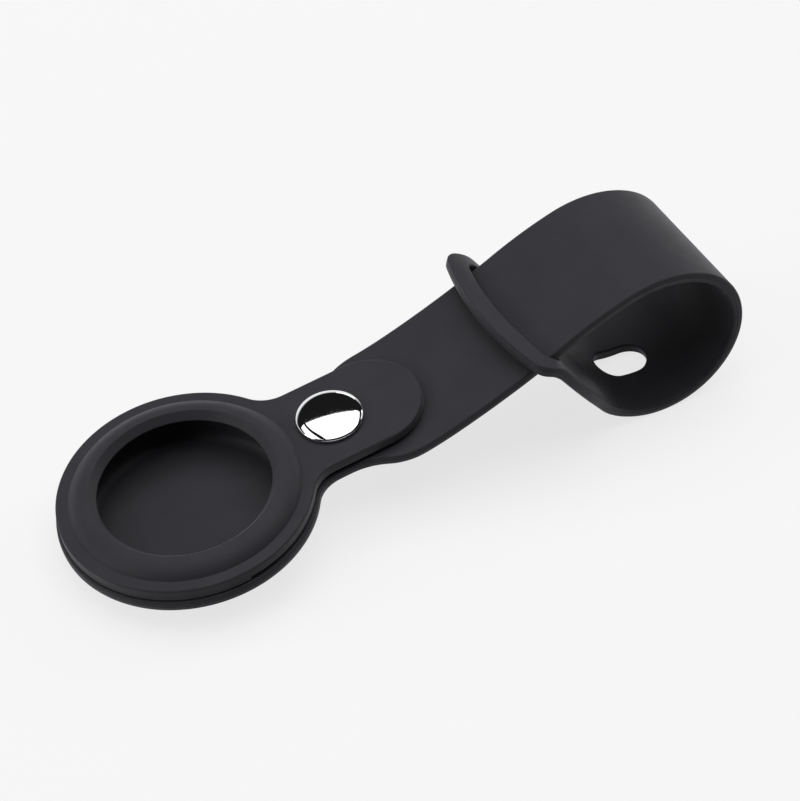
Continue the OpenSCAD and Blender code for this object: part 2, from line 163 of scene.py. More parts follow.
# Fineness of the meshes: points round turned forms, spacings, and steps of an arc or an edge
RING_N, CAP_N, SNAP_N = 240, 144, 72
SKIN_PITCH, SKIRT_PITCH = 0.9, 1.2
LOWER_PITCH, COVER_PITCH, HOLE_PITCH, ARC_PITCH = 0.6, 0.5, 0.4, 0.35
ARC_STEPS, EDGE_STEPS, SIDE_STEPS, LOOP_STEPS = 6, 5, 500, 8
FAN_R = 0.6
SAME_PLACE, CUT_EPSILON = 1e-6, 1e-9

# Radii and heights that follow
POCKET_R = TAG_D / 2 + TAG_PLAY
COVER_R = POCKET_R + FLANGE_W
BACK_R = COVER_R + BACK_REACH
MOUTH_R = POCKET_R - LIP_W
CROWN_R = MOUTH_R + BEVEL_W
RING_FOOT_R = POCKET_R + RING_OUT
SEAM_Z = -COVER_T - SKIRT_H
BACK_Z = SEAM_Z - BACK_T
FLOOR_Z = LIP_Z - TAG_GAP - (TAG_T - TAG_RISE)
DISH_Z = FLOOR_Z - FLOOR_T
DISH_R = POCKET_R + DISH_WALL
CORNER_R = DISH_ROUND + DISH_WALL
STRAP_Z = SEAM_Z - STRAP_T / 2

SNAP_X = COVER_R + SNAP_CLEAR + SNAP_GAP + SOCKET_R
SEAM_X = BACK_R - SEAM_IN
FLARE_X = SNAP_X - FLARE_LEAD
FLAT_LEN = SNAP_X + LIFT_LEAD
TAB_REACH = SNAP_X + TAB_LEAD
TAB_BEND_X = FLAT_LEN + TAB_BEND_LEAD


def arc_radius(w, h):
    """Radius of the arc that falls by h over a width w from its top."""
    return (w * w + h * h) / (2 * h)


# The strap's middle line
def step(p, radius, turn):
    """The point [x, z, heading] after a run: an arc of this radius and turn, or this length
    straight on where the turn is 0."""
    h, t = math.radians(p[2]), math.radians(turn)
    if turn == 0:
        return [p[0] + radius * math.cos(h), p[1] + radius * math.sin(h), p[2]]
    s = math.copysign(radius, turn)
    return [
        p[0] + s * (math.sin(h + t) - math.sin(h)),
        p[1] + s * (math.cos(h) - math.cos(h + t)),
        p[2] + turn,
    ]


def marks_of(runs, start):
    """The points at which the runs begin and end."""
    marks = [start]
    for radius, turn in runs:
        marks.append(step(marks[-1], radius, turn))
    return marks


def span(run):
    """A run's length."""
    return run[0] if run[1] == 0 else run[0] * math.radians(abs(run[1]))


def strap_runs():
    """The runs of the strap's middle line, closed where the slot meets the strap, and the slot's
    two ends along the tail, from the crossing."""
    upper = [(FLAT_LEN - SEAM_X, 0), LIFT, RISE, CREST, SHOULDER, FRONT]
    marks = marks_of(upper, [SEAM_X, STRAP_Z, 0])
    front_end = marks[-1]
    lead_angle = CROSS_LEAD / span(RISE) * RISE[1]
    cross = step(marks[2], RISE[0], RISE[1] - lead_angle)
    return_head = front_end[2] - UNDER_ANGLE
    tail_head = return_head - RETURN_ANGLE
    # the underside's radius and the tail's length that bring the tail to the crossing
    under = step([0, 0, front_end[2]], 1, -UNDER_ANGLE)
    tail = step([0, 0, tail_head], 1, 0)
    back = step([0, 0, return_head], RETURN_R, -RETURN_ANGLE)
    rest = step([0, 0, tail_head], TAIL_R, TAIL_ANGLE)
    gap = [cross[i] - front_end[i] - back[i] - rest[i] for i in (0, 1)]
    under_r, tail_len = np.linalg.solve([[under[0], tail[0]], [under[1], tail[1]]], gap)
    # the slot leaves room for the strap, which passes it at an angle
    cut_angle = math.radians(tail_head + TAIL_ANGLE + SLOT_ANGLE - cross[2])
    reach = STRAP_T / 2 * (1 + abs(math.cos(cut_angle))) / abs(math.sin(cut_angle))
    slot = (-reach - SLOT_LOW_GAP, reach + SLOT_HIGH_GAP)
    bar = slot[1] + BAR_W - TAIL_R * math.radians(TAIL_REST_ANGLE)
    runs = upper + [
        (under_r, -UNDER_ANGLE),
        (RETURN_R, -RETURN_ANGLE),
        (tail_len, 0),
        (TAIL_R, TAIL_ANGLE),
        (TAIL_R, TAIL_REST_ANGLE),
        (bar, 0),
    ]
    return runs, slot


RUNS, SLOT = strap_runs()
BOTTOM, RETURN, TAIL, CROSS = 6, 7, 9, 10  # where these runs start among MARKS
MARKS = marks_of(RUNS, [SEAM_X, STRAP_Z, 0])
STATIONS = SEAM_X + np.concatenate([[0], np.cumsum([span(r) for r in RUNS])])
SLOT_HALF_W = STRAP_W / 2 + SLOT_SIDE_GAP
END_HALF_W = SLOT_HALF_W + RAIL_W


class Line:
    """A middle line in the XZ plane: flat up to its first mark, then along its runs."""

    def __init__(self, marks, runs, stations):
        self.marks, self.runs, self.stations = marks, runs, stations

    def at(self, x):
        """Places and headings (radians) at distances x, which count as X while the line is flat."""
        x = np.asarray(x, float)
        cx, cz, ch = x.copy(), np.full(x.shape, self.marks[0][1]), np.zeros(x.shape)
        for i, (radius, turn) in enumerate(self.runs):
            on = x >= self.stations[i] if i == len(self.runs) - 1 else (
                (x >= self.stations[i]) & (x < self.stations[i + 1])
            )
            u = x[on] - self.stations[i]
            px, pz, ph = self.marks[i][0], self.marks[i][1], math.radians(self.marks[i][2])
            if turn == 0:
                cx[on], cz[on], ch[on] = px + u * math.cos(ph), pz + u * math.sin(ph), ph
            else:
                s = math.copysign(radius, turn)
                h = ph + u / s
                cx[on] = px + s * (np.sin(h) - math.sin(ph))
                cz[on] = pz + s * (math.cos(ph) - np.cos(h))
                ch[on] = h
        return cx, cz, ch

    def lift(self, plan, w, normal):
        """Points and normals in space of plan points (x, y) at height w over the middle line."""
        cx, cz, h = self.at(plan[:, 0])
        sin, cos = np.sin(h), np.cos(h)
        points = np.stack([cx - w * sin, plan[:, 1], cz + w * cos], 1)
        n = np.stack(
            [normal[:, 0] * cos - normal[:, 2] * sin, normal[:, 1],
             normal[:, 0] * sin + normal[:, 2] * cos], 1
        )
        return points, n / np.linalg.norm(n, axis=1)[:, None]


STRAP_LINE = Line(MARKS, RUNS, STATIONS)
TAB_RUNS = [(TAB_BEND_R + COVER_T / 2, 40.0)]  # the turn only has to outlast the tab
TAB_STATIONS = [TAB_BEND_X, TAB_BEND_X + span(TAB_RUNS[0])]
TAB_LINE = Line(marks_of(TAB_RUNS, [TAB_BEND_X, -COVER_T / 2, 0]), TAB_RUNS, TAB_STATIONS)


# Outlines in plan
def arc(cx, cy, r, a0, a1, pitch=ARC_PITCH):
    """Points of an arc, about pitch apart."""
    n = max(ARC_STEPS, int(abs(math.radians(a1 - a0)) * r / pitch))
    a = np.radians(np.linspace(a0, a1, n + 1))
    return np.stack([cx + r * np.cos(a), cy + r * np.sin(a)], 1)


def mirrored(half):
    """Closed loop from its upper half, which starts on the left of the axis or at its right end."""
    low = half[::-1].copy()
    low[:, 1] *= -1
    both = np.concatenate([half, low])
    keep = np.linalg.norm(both - np.roll(both, 1, 0), axis=1) > SAME_PLACE
    return both[keep]


def even(points, pitch):
    """The same closed outline with its points spread evenly, about pitch apart."""
    p = np.concatenate([points, points[:1]])
    d = np.concatenate([[0], np.cumsum(np.linalg.norm(np.diff(p, axis=0), axis=1))])
    n = max(LOOP_STEPS, int(round(d[-1] / pitch)))
    t = np.linspace(0, d[-1], n + 1)[:n]
    return np.stack([np.interp(t, d, p[:, 0]), np.interp(t, d, p[:, 1])], 1)


def outward(loop):
    """Unit normals of a closed loop, pointing to the right of its direction of travel."""
    t = np.roll(loop, -1, 0) - np.roll(loop, 1, 0)
    t /= np.linalg.norm(t, axis=1)[:, None]
    return np.stack([t[:, 1], -t[:, 0]], 1)


def disc_and_fillet(r, half):
    """Upper half of the outline from the left of the disc to the end of the neck's fillet."""
    fy = half + NECK_FILLET
    fx = math.sqrt((r + NECK_FILLET) ** 2 - fy * fy)
    turn = math.degrees(math.atan2(fy, fx))
    return np.concatenate(
        [arc(0, 0, r, 180, turn), arc(fx, fy, NECK_FILLET, turn + 180, 270)[1:]]
    )


def s_bend(u, length, rise):
    """Two opposite arcs that climb by rise over a length, at distances u along it."""
    r = arc_radius(length / 2, rise / 2)
    v = np.clip(u, 0, length)
    low = r - np.sqrt(r * r - np.minimum(v, length / 2) ** 2)
    high = rise - r + np.sqrt(r * r - np.minimum(length - v, length / 2) ** 2)
    return np.where(v < length / 2, low, high)


def strap_half_w(x):
    """Half the strap's width, from the neck over the flare to the slotted end."""
    return (
        NECK_HALF_W
        + s_bend(x - FLARE_X, FLARE_LEN, STRAP_W / 2 - NECK_HALF_W)
        + s_bend(x - STATIONS[TAIL] + WIDEN_LEN, WIDEN_LEN, END_HALF_W - STRAP_W / 2)
    )


def bowed_edge(x, half, round_r, bow):
    """Upper half of a bowed edge through [x, 0], from its rounded corner to the axis."""
    a = math.degrees(math.asin((half - round_r) / (bow - round_r)))
    cx = x - bow + (bow - round_r) * math.cos(math.radians(a))
    return np.concatenate(
        [arc(cx, half - round_r, round_r, 90, a), arc(x - bow, 0, bow, a, 0)[1:]]
    )


def lower_outline():
    """Case back, strap and slotted end, laid flat."""
    start = disc_and_fillet(BACK_R, NECK_HALF_W)
    end = bowed_edge(STATIONS[-1], END_HALF_W, BAR_ROUND, BOW_R)
    x = np.linspace(start[-1, 0], end[0, 0], SIDE_STEPS)[1:-1]
    sides = np.stack([x, strap_half_w(x)], 1)
    return even(mirrored(np.concatenate([start, sides, end]))[::-1], LOWER_PITCH)


def cover_outline():
    """Front cover and tab, laid flat."""
    start = disc_and_fillet(COVER_R, TAB_HALF_W)
    end = arc(TAB_REACH, 0, TAB_HALF_W, 90, 0)
    return even(mirrored(np.concatenate([start, end]))[::-1], COVER_PITCH)


def slot_outline():
    """The slot as a hole, with its far edge bowed."""
    low, high = STATIONS[CROSS] + SLOT[0], STATIONS[CROSS] + SLOT[1]
    near = arc(low + SLOT_ROUND, SLOT_HALF_W - SLOT_ROUND, SLOT_ROUND, 180, 90, HOLE_PITCH / 2)
    far = bowed_edge(high, SLOT_HALF_W, SLOT_ROUND, SLOT_BOW_R)
    return even(mirrored(np.concatenate([near, far])), HOLE_PITCH)


def oval_outline():
    """The key-ring hole."""
    x = STATIONS[RETURN] + RETURN_R * math.radians(KEY_ANGLE)
    d, r = (KEY_LEN - KEY_W) / 2, KEY_W / 2
    half = np.concatenate([arc(x - d, 0, r, 180, 90), arc(x + d, 0, r, 90, 0)])
    return even(mirrored(half), HOLE_PITCH)


def circle(cx, r, n):
    """Points clockwise round [cx, 0]."""
    a = -np.arange(n) * 2 * math.pi / n
    return np.stack([cx + r * np.cos(a), r * np.sin(a)], 1)


# Skins
def inside(points, loop):
    """Which of the points lie inside a closed loop."""
    x, y = points[:, :1], points[:, 1:]
    x0, y0 = loop[:, 0], loop[:, 1]
    x1, y1 = np.roll(x0, -1), np.roll(y0, -1)
    with np.errstate(divide="ignore", invalid="ignore"):
        cross = ((y0 > y) != (y1 > y)) & (x < (x1 - x0) * (y - y0) / (y1 - y0) + x0)
    return cross.sum(1) % 2 == 1


class Skin:
    """A closed skin gathered from strips and caps, with a true normal at each face's corners."""

    CLEAR_SHARE = 0.45  # least distance of a grid point from an edge, as a share of the pitch
    CHUNK = 2000  # points measured at a time
    # the ridge's rows round an edge: height and reach as shares of it, and the normal's lean
    RIDGE_ROWS = ((1.5, 0.3, 20), (0, 1, 0), (-1.5, 0.3, -20))

    def __init__(self):
        self.points, self.faces, self.normals, self.count = [], [], [], 0

    def add(self, points):
        """Adds points and gives their numbers."""
        ids = np.arange(self.count, self.count + len(points))
        self.points.append(points)
        self.count += len(points)
        return ids

    def face(self, ids, normals):
        self.faces.append([int(i) for i in ids])
        self.normals.append(normals)

    def strip(self, a, b, na, nb):
        """Quads between two closed rings of point numbers, with the normals at each ring."""
        n = len(a)
        for i in range(n):
            j = (i + 1) % n
            self.face((a[i], b[i], b[j], a[j]), (na[i], nb[i], nb[j], na[j]))

    def fan(self, ring, centre, normal):
        """Triangles between a ring and the point at its centre."""
        for i in range(len(ring)):
            self.face((ring[i], ring[(i + 1) % len(ring)], centre), [normal] * 3)

    def cap(self, rings, lift, up, pitch):
        """Fills between an outer ring and its holes, each (point numbers, plan points)."""
        plans = [r[1] for r in rings]
        loops = np.concatenate(plans)
        lo, hi = loops.min(0), loops.max(0)
        gx = np.arange(lo[0], hi[0], pitch)
        gy = np.linspace(lo[1], hi[1], 2 * int((hi[1] - lo[1]) / 2 / pitch) + 1)
        grid = np.stack(np.meshgrid(gx, gy, indexing="ij"), -1).reshape(-1, 2)
        ok = inside(grid, plans[0])
        for hole in plans[1:]:
            ok &= ~inside(grid, hole)
        grid = grid[ok]
        near = np.zeros(len(grid), bool)
        for i in range(0, len(grid), self.CHUNK):
            d = grid[i : i + self.CHUNK, None] - loops[None]
            near[i : i + self.CHUNK] = (d**2).sum(-1).min(1) < (self.CLEAR_SHARE * pitch) ** 2
        grid = grid[~near]
        flat = np.concatenate([loops, grid])
        points, normals = lift(flat, up)
        ids = np.concatenate([*[r[0] for r in rings], self.add(points[len(loops) :])])
        edges, n = [], 0
        for plan in plans:
            k = len(plan)
            edges += [(n + i, n + (i + 1) % k) for i in range(k)]
            n += k
        out, _, tris, origin, _, _ = delaunay_2d_cdt(
            [Vector(p) for p in flat], edges, [], 0, CUT_EPSILON
        )
        source = [o[0] for o in origin]
        tris = np.array(tris)
        co = np.array([tuple(v) for v in out])
        mid = co[tris].mean(1)
        ok = inside(mid, plans[0])
        for hole in plans[1:]:
            ok &= ~inside(mid, hole)
        for t in tris[ok]:
            k = [source[i] for i in t]
            self.face(ids[k], normals[k])

    def edge(self, plan, out, line, t, top, bottom, ridge=0.0):
        """Rounded edge of a plate of thickness t along a closed outline, with the radii of its
        top and bottom edges: returns its top and bottom rings."""
        rows = []
        for a in np.linspace(90, 0, EDGE_STEPS + 1) if np.any(top) else [0]:
            rows.append((top * (1 - math.cos(math.radians(a))),
                         t / 2 - top * (1 - math.sin(math.radians(a))), a))
        if ridge:
            rows += [(-ridge * reach, w * ridge, a) for w, reach, a in self.RIDGE_ROWS]
        for a in np.linspace(0, -90, EDGE_STEPS + 1) if np.any(bottom) else [0]:
            rows.append((bottom * (1 - math.cos(math.radians(a))),
                         -t / 2 + bottom * (1 + math.sin(math.radians(a))), a))
        rings = []
        for inset, w, a in rows:
            c, s = math.cos(math.radians(a)), math.sin(math.radians(a))
            p = plan - out * np.reshape(inset, (-1, 1))
            n = np.concatenate([out * c, np.full((len(out), 1), s)], 1)
            points, normals = line.lift(p, np.full(len(p), w), n)
            rings.append((self.add(points), p, normals))
            if len(rings) > 1:
                self.strip(rings[-2][0], rings[-1][0], rings[-2][2], rings[-1][2])
        return rings[0], rings[-1]

    def turned(self, profile, n, cx=0.0):
        """Rings of a turned surface about the axis at [cx, 0], from rows of (r, z, nr, nz).
        A row with two more numbers is a crisp corner, and these are the next strip's normal."""
        rings, arrive, leave = [], [], []
        radial = circle(0, 1, n)

        def spun(nr, nz):
            length = math.hypot(nr, nz)
            return np.concatenate([radial * nr / length, np.full((n, 1), nz / length)], 1)

        for row in profile:
            plan = circle(cx, row[0], n)
            rings.append(self.add(np.concatenate([plan, np.full((n, 1), row[1])], 1)))
            arrive.append(spun(*row[2:4]))
            leave.append(spun(*row[-2:]))
        for i in range(len(rings) - 1):
            self.strip(rings[i], rings[i + 1], leave[i], arrive[i + 1])
        return rings

    def point(self, x, z):
        return self.add(np.array([[x, 0, z]]))[0]

    def object(self, name):
        """Makes the Blender object, with each face turned to the side that its normals say."""
        points = place(np.concatenate(self.points))
        faces, corners = [], []
        for ids, normals in zip(self.faces, self.normals):
            normals = turn(np.array(normals, float))
            p = points[ids]
            across = np.cross(p[1] - p[0], p[2] - p[0])
            if len(ids) == 4:
                across = np.cross(p[2] - p[0], p[3] - p[1])
            if across @ normals.sum(0) < 0:
                ids, normals = ids[::-1], normals[::-1]
            faces.append(ids)
            corners += [tuple(v) for v in normals]
        mesh = bpy.data.meshes.new(name)
        mesh.from_pydata([tuple(p) for p in points], [], faces)
        mesh.polygons.foreach_set("use_smooth", [True] * len(mesh.polygons))
        mesh.normals_split_custom_set(corners)
        mesh.update()
        obj = bpy.data.objects.new(name, mesh)
        bpy.context.scene.collection.objects.link(obj)
        return obj


def curve(r0, z0, radius, a0, a1, n):
    """Rows of an arc in a profile, with the normals of a solid inside it."""
    rows = []
    for a in np.radians(np.linspace(a0, a1, n + 1)):
        c, s = math.cos(a), math.sin(a)
        rows.append((r0 + radius * c, z0 + radius * s, c, s))
    return rows


def hollow(rows):
    """The same rows with the normals of a solid outside them."""
    return [(r, z, -nr, -nz) for r, z, nr, nz in rows]


# Laying it on the ground
def ground():
    """Sine and cosine of the tilt, and the shifts, at which the dish and the loop touch down."""
    under_p, under_r = MARKS[BOTTOM], RUNS[BOTTOM][0]
    h = math.radians(under_p[2])
    under_c = (under_p[0] + under_r * math.sin(h), under_p[1] - under_r * math.cos(h))
    corner_c = (CORNER_R - DISH_R, DISH_Z + CORNER_R)
    loop_r = under_r + STRAP_T / 2
    dx, dz = under_c[0] - corner_c[0], under_c[1] - corner_c[1]
    g = math.atan2(dz, dx) - math.asin((loop_r - CORNER_R) / math.hypot(dx, dz))
    s, c = math.sin(g), math.cos(g)
    z = corner_c[1] * c - corner_c[0] * s - CORNER_R
    left = (BACK_ROUND - BACK_R) * c + (SEAM_Z - BACK_ROUND) * s - BACK_ROUND
    right = under_c[0] * c + under_c[1] * s + loop_r
    return s, c, -(left + right) / 2, -z


SIN_G, COS_G, SHIFT_X, SHIFT_Z = ground()


def turn(v):
    """Directions from the case's own frame to the world's."""
    return np.stack([v[:, 0] * COS_G + v[:, 2] * SIN_G, v[:, 1],
                     -v[:, 0] * SIN_G + v[:, 2] * COS_G], 1)


def place(v):
    """Points from the case's own frame to the world's, in metres."""
    return (turn(v) + np.array([SHIFT_X, 0, SHIFT_Z])) * MM


def at(x, y, z):
    return tuple(place(np.array([[x, y, z]], float))[0])


# Lower moulding
def line_lift(line, t):
    """Lays a cap's plan points on the top or the underside of a plate of thickness t."""

    def lift(plan, up):
        n = np.zeros((len(plan), 3))
        n[:, 2] = up
        return line.lift(plan, np.full(len(plan), up * t / 2), n)

    return lift


def make_lower():
    """Case back, strap and slotted end."""
    skin = Skin()
    plan = lower_outline()
    slot_end = STATIONS[CROSS] + SLOT[1]
    crisp = np.clip((plan[:, 0] - slot_end + CRISP_LEAD) / CRISP_LEN, 0, 1)
    rounding = STRAP_ROUND + (CRISP_ROUND - STRAP_ROUND) * crisp * crisp * (3 - 2 * crisp)
    top, low = skin.edge(plan, outward(plan), STRAP_LINE, STRAP_T, rounding, rounding, MOULD_RIDGE)
    tops, lows = [top], [low]
    for hole in (slot_outline(), oval_outline()):
        top, low = skin.edge(hole, outward(hole), STRAP_LINE, STRAP_T, HOLE_ROUND, HOLE_ROUND)
        tops.append(top)
        lows.append(low)

    # recess for the stud, and the post's hole
    stud_r, hole_r, sunk_z = STUD_PLATE_R + SNAP_GAP, POST_R + SNAP_GAP, SEAM_Z - STUD_SINK
    rows = [(stud_r, SEAM_Z, -1, 0), (stud_r, sunk_z, -1, 0, 0, 1),
            (hole_r, sunk_z, 0, 1, -1, 0), (hole_r, SEAM_Z - STRAP_T, -1, 0)]
    rings = skin.turned(rows, SNAP_N, SNAP_X)
    tops.append((rings[0], circle(SNAP_X, stud_r, SNAP_N)))
    lows.append((rings[-1], circle(SNAP_X, hole_r, SNAP_N)))

    # pocket, from the flange's top down to the middle of the floor
    corner = hollow(curve(POCKET_R - DISH_ROUND, FLOOR_Z + DISH_ROUND, DISH_ROUND, 0, -90, 10))
    rows = [(POCKET_R, SEAM_Z, -1, 0)] + corner
    rows += [(r, FLOOR_Z, 0, 1) for r in np.linspace(POCKET_R - DISH_ROUND, FAN_R, 14)[1:]]
    rings = skin.turned(rows, RING_N)
    skin.fan(rings[-1], skin.point(0, FLOOR_Z), (0, 0, 1))
    tops.append((rings[0], circle(0, POCKET_R, RING_N)))

    # dish, from the flange's underside down to the middle of its back
    foot_r = DISH_R + DISH_FILLET
    rows = hollow(curve(foot_r, BACK_Z - DISH_FILLET, DISH_FILLET, 90, 180, 5))
    rows += curve(DISH_R - CORNER_R, DISH_Z + CORNER_R, CORNER_R, 0, -90, 12)
    rows += [(r, DISH_Z, 0, -1) for r in np.linspace(DISH_R - CORNER_R, FAN_R, 10)[1:]]
    rings = skin.turned(rows, RING_N)
    skin.fan(rings[-1], skin.point(0, DISH_Z), (0, 0, -1))
    lows.append((rings[0], circle(0, foot_r, RING_N)))

    skin.cap(tops, line_lift(STRAP_LINE, STRAP_T), 1, SKIN_PITCH)
    skin.cap(lows, line_lift(STRAP_LINE, STRAP_T), -1, SKIN_PITCH)
    return skin.object("lower_moulding")


# Upper moulding
def make_upper():
    """Front cover and tab."""
    skin = Skin()
    plan = cover_outline()
    top, low = skin.edge(plan, outward(plan), TAB_LINE, COVER_T, COVER_ROUND, UNDER_ROUND)
    tops, lows = [top], [low]

    # raised ring: up its crown from the foot, down the bevel, round the lip and down the
    # pocket's wall
    crown = arc_radius(RING_FOOT_R - CROWN_R, RING_H)
    foot_a = math.degrees(math.acos((RING_FOOT_R - CROWN_R) / crown))
    lip = LIP_T / 2
    dx, dz = CROWN_R - MOUTH_R - lip, RING_H - RIM_ROUND - LIP_Z - lip
    bevel_a = math.degrees(math.atan2(dz, dx) + math.acos((lip - RIM_ROUND) / math.hypot(dx, dz)))
    under_a = 270 - math.degrees(math.atan2(LIP_Z + LIP_DROP, LIP_W))
    rows = curve(CROWN_R, RING_H - crown, crown, foot_a, 90, 24)
    rows += curve(CROWN_R, RING_H - RIM_ROUND, RIM_ROUND, 90, bevel_a, 6)
    rows += curve(MOUTH_R + lip, LIP_Z + lip, lip, bevel_a, under_a, 8)
    rows += [(POCKET_R - LIP_HEEL / 2, -LIP_DROP, -0.4, -0.9),
             (POCKET_R, -LIP_DROP - LIP_HEEL, -1, 0), (POCKET_R, -COVER_T, -1, 0)]
    rings = skin.turned(rows, RING_N)
    tops.append((rings[0], circle(0, RING_FOOT_R, RING_N)))
    lows.append((rings[-1], circle(0, POCKET_R, RING_N)))

    # recess for the socket, and the barrel's hole
    recess_r, hole_r, roof_z = SOCKET_R + SNAP_GAP, BARREL_R + SNAP_GAP, SOCKET_SINK - COVER_T
    rows = [(hole_r, 0, -1, 0), (hole_r, roof_z, -1, 0, 0, -1),
            (recess_r, roof_z, 0, -1, -1, 0), (recess_r, -COVER_T, -1, 0)]
    rings = skin.turned(rows, SNAP_N, SNAP_X)
    tops.append((rings[0], circle(SNAP_X, hole_r, SNAP_N)))
    lows.append((rings[-1], circle(SNAP_X, recess_r, SNAP_N)))

    skin.cap(tops, line_lift(TAB_LINE, COVER_T), 1, SKIN_PITCH)
    skin.cap(lows, line_lift(TAB_LINE, COVER_T), -1, SKIN_PITCH)
    return skin.object("upper_moulding")


def make_skirt():
    """The bonded half of the cover's edge: a wall, and the neck behind the groove at its foot."""
    skin = Skin()
    pitch, side_points, overlap = 0.5, 9, 0.05
    outer_a = math.degrees(math.acos(NOTCH_X / COVER_R))
    inner_a = math.degrees(math.acos(NOTCH_X / POCKET_R))
    outer = arc(0, 0, COVER_R, outer_a, 360 - outer_a, pitch)
    inner = arc(0, 0, POCKET_R, 360 - inner_a, inner_a, pitch)
    side0 = np.linspace(outer[-1], inner[0], side_points)[1:-1]
    side1 = np.linspace(inner[-1], outer[0], side_points)[1:-1]
    plan = np.concatenate([outer, side0, inner, side1])
    on_rim = np.hypot(plan[:, :1], plan[:, 1:]) > COVER_R - pitch
    groove_z = SEAM_Z + GROOVE_H
    for inset, high, low, rounding in ((0.0, -COVER_T, groove_z, GROOVE_ROUND),
                                       (GROOVE_IN, groove_z + overlap, SEAM_Z, 0.0)):
        t = high - low
        line = Line([[0, (high + low) / 2, 0]], [], [0])
        part = plan - outward(plan) * on_rim * inset
        top, bottom = skin.edge(part, outward(part), line, t, 0.0, rounding)
        skin.cap([top], line_lift(line, t), 1, SKIRT_PITCH)
        skin.cap([bottom], line_lift(line, t), -1, SKIRT_PITCH)
    return skin.object("upper_moulding_skirt")


# Snap cap
def make_cap():
    """A flat dome, a rounder shoulder and a rolled rim, each tangent to the next, on a barrel."""
    skin = Skin()
    roll, rim_a, dome_a = CAP_ROLL, math.radians(RIM_ANGLE), math.radians(DOME_ANGLE)
    rim_r, rim_z = CAP_R - roll + roll * math.cos(rim_a), roll + roll * math.sin(rim_a)
    fall = (1 - math.sin(dome_a)) / math.cos(dome_a)
    d_r, d_z = math.cos(rim_a) - math.cos(dome_a), math.sin(dome_a) - math.sin(rim_a)
    shoulder = (CAP_H - rim_z - fall * rim_r) / (d_z - fall * d_r)
    dome = (rim_r - shoulder * d_r) / math.cos(dome_a)
    shoulder_r, shoulder_z = rim_r - shoulder * math.cos(rim_a), rim_z - shoulder * math.sin(rim_a)
    start_angle = 89.5  # beside the axis, where a fan closes the dome
    rows = curve(0, CAP_H - dome, dome, start_angle, DOME_ANGLE, 30)
    rows += curve(shoulder_r, shoulder_z, shoulder, DOME_ANGLE, RIM_ANGLE, 16)[1:]
    rows += curve(CAP_R - roll, roll, roll, RIM_ANGLE, -90, 20)[1:]
    flare_z = -COVER_T + SOCKET_SINK - SHEET_T
    end_z = flare_z - SHEET_T / 2
    rows += [(BARREL_R, 0.0, 0, -1, 1, 0), (BARREL_R, flare_z, 1, 0),
             (BARREL_R - SHEET_T, end_z, 0, -1)]
    rings = skin.turned(rows, CAP_N, SNAP_X)
    skin.fan(rings[0], skin.point(SNAP_X, CAP_H), (0, 0, 1))
    skin.fan(rings[-1], skin.point(SNAP_X, end_z), (0, 0, -1))
    return skin.object("snap_cap_shell")


# Materials
class Graph:
    """A node tree, with short ways to add the nodes that are used here.

    Each value is a number or another node's output, and each way gives an output.
    """

    FACTOR, A, B = 0, 2, 3  # the Mix node's inputs for numbers

    def __init__(self, tree):
        self.nodes, self.links = tree.nodes, tree.links

    def feed(self, socket, value):
        if isinstance(value, bpy.types.NodeSocket):
            self.links.new(value, socket)
        else:
            socket.default_value = value

    def settings(self, node, **values):
        """Sets inputs by their names, written in small letters with underlines."""
        for name, value in values.items():
            same = (s for s in node.inputs if s.name.lower().replace(" ", "_") == name)
            self.feed(next(same), value)

    def ranged(self, value, low, high, start=0.0, end=1.0, kind="LINEAR"):
        """The value, with the range from start to end carried over to low and high."""
        node = self.nodes.new("ShaderNodeMapRange")
        node.interpolation_type = kind
        self.settings(node, value=value, from_min=start, from_max=end, to_min=low, to_max=high)
        return node.outputs["Result"]

    def maths(self, operation, a, b):
        node = self.nodes.new("ShaderNodeMath")
        node.operation = operation
        self.feed(node.inputs[0], a)
        self.feed(node.inputs[1], b)
        return node.outputs["Value"]

    def mixed(self, factor, a, b):
        """a where the factor is 0, and b where it is 1."""
        node = self.nodes.new("ShaderNodeMix")
        for number, value in ((self.FACTOR, factor), (self.A, a), (self.B, b)):
            self.feed(node.inputs[number], value)
        return node.outputs[0]

    def noise(self, scale, detail=3.0, roughness=0.55):
        """Noise laid in the object's own space, with scale in features per metre."""
        coord = self.nodes.new("ShaderNodeTexCoord")
        node = self.nodes.new("ShaderNodeTexNoise")
        self.settings(node, vector=coord.outputs["Object"], scale=scale, detail=detail,
                      roughness=roughness)
        return node.outputs["Fac"]

    def noisy(self, noise, low, high):
        """The noise's middle part, carried over to the range from low to high."""
        return self.ranged(noise, low, high, start=0.3, end=0.7)


def material(name):
    m = bpy.data.materials.new(name)
    m.use_nodes = True
    return m, Graph(m.node_tree), m.node_tree.nodes["Principled BSDF"]


def silicone():
    """Matte black silicone with a faint blue cast, a soft bloom and a fine grain."""
    m, graph, bsdf = material("matte_silicone")
    clouds, haze, grain = graph.noise(160.0, 4.0), graph.noise(420.0), graph.noise(5200.0, 2.0, 0.6)
    dark, light = (0.0400, 0.0391, 0.0464, 1), (0.0460, 0.0451, 0.0529, 1)
    tint = graph.nodes.new("ShaderNodeMixRGB")
    graph.settings(tint, fac=graph.noisy(clouds, 0, 1), color1=dark, color2=light)
    bump = graph.nodes.new("ShaderNodeBump")
    graph.settings(bump, strength=0.25, distance=0.02 * MM, height=grain)
    graph.settings(bsdf, base_color=tint.outputs["Color"], normal=bump.outputs["Normal"],
                   roughness=graph.noisy(haze, 0.46, 0.54), ior=1.42, specular_ior_level=0.2,
                   sheen_weight=0.18, sheen_roughness=0.4, sheen_tint=(0.92, 0.92, 1.0, 1))
    return m


def metal(name, color, rough_low, rough_high, scale):
    """A metal whose roughness varies a little, with scale in features per metre."""
    m, graph, bsdf = material(name)
    graph.settings(bsdf, metallic=1.0, base_color=(*color, 1),
                   roughness=graph.noisy(graph.noise(scale), rough_low, rough_high))
    return m


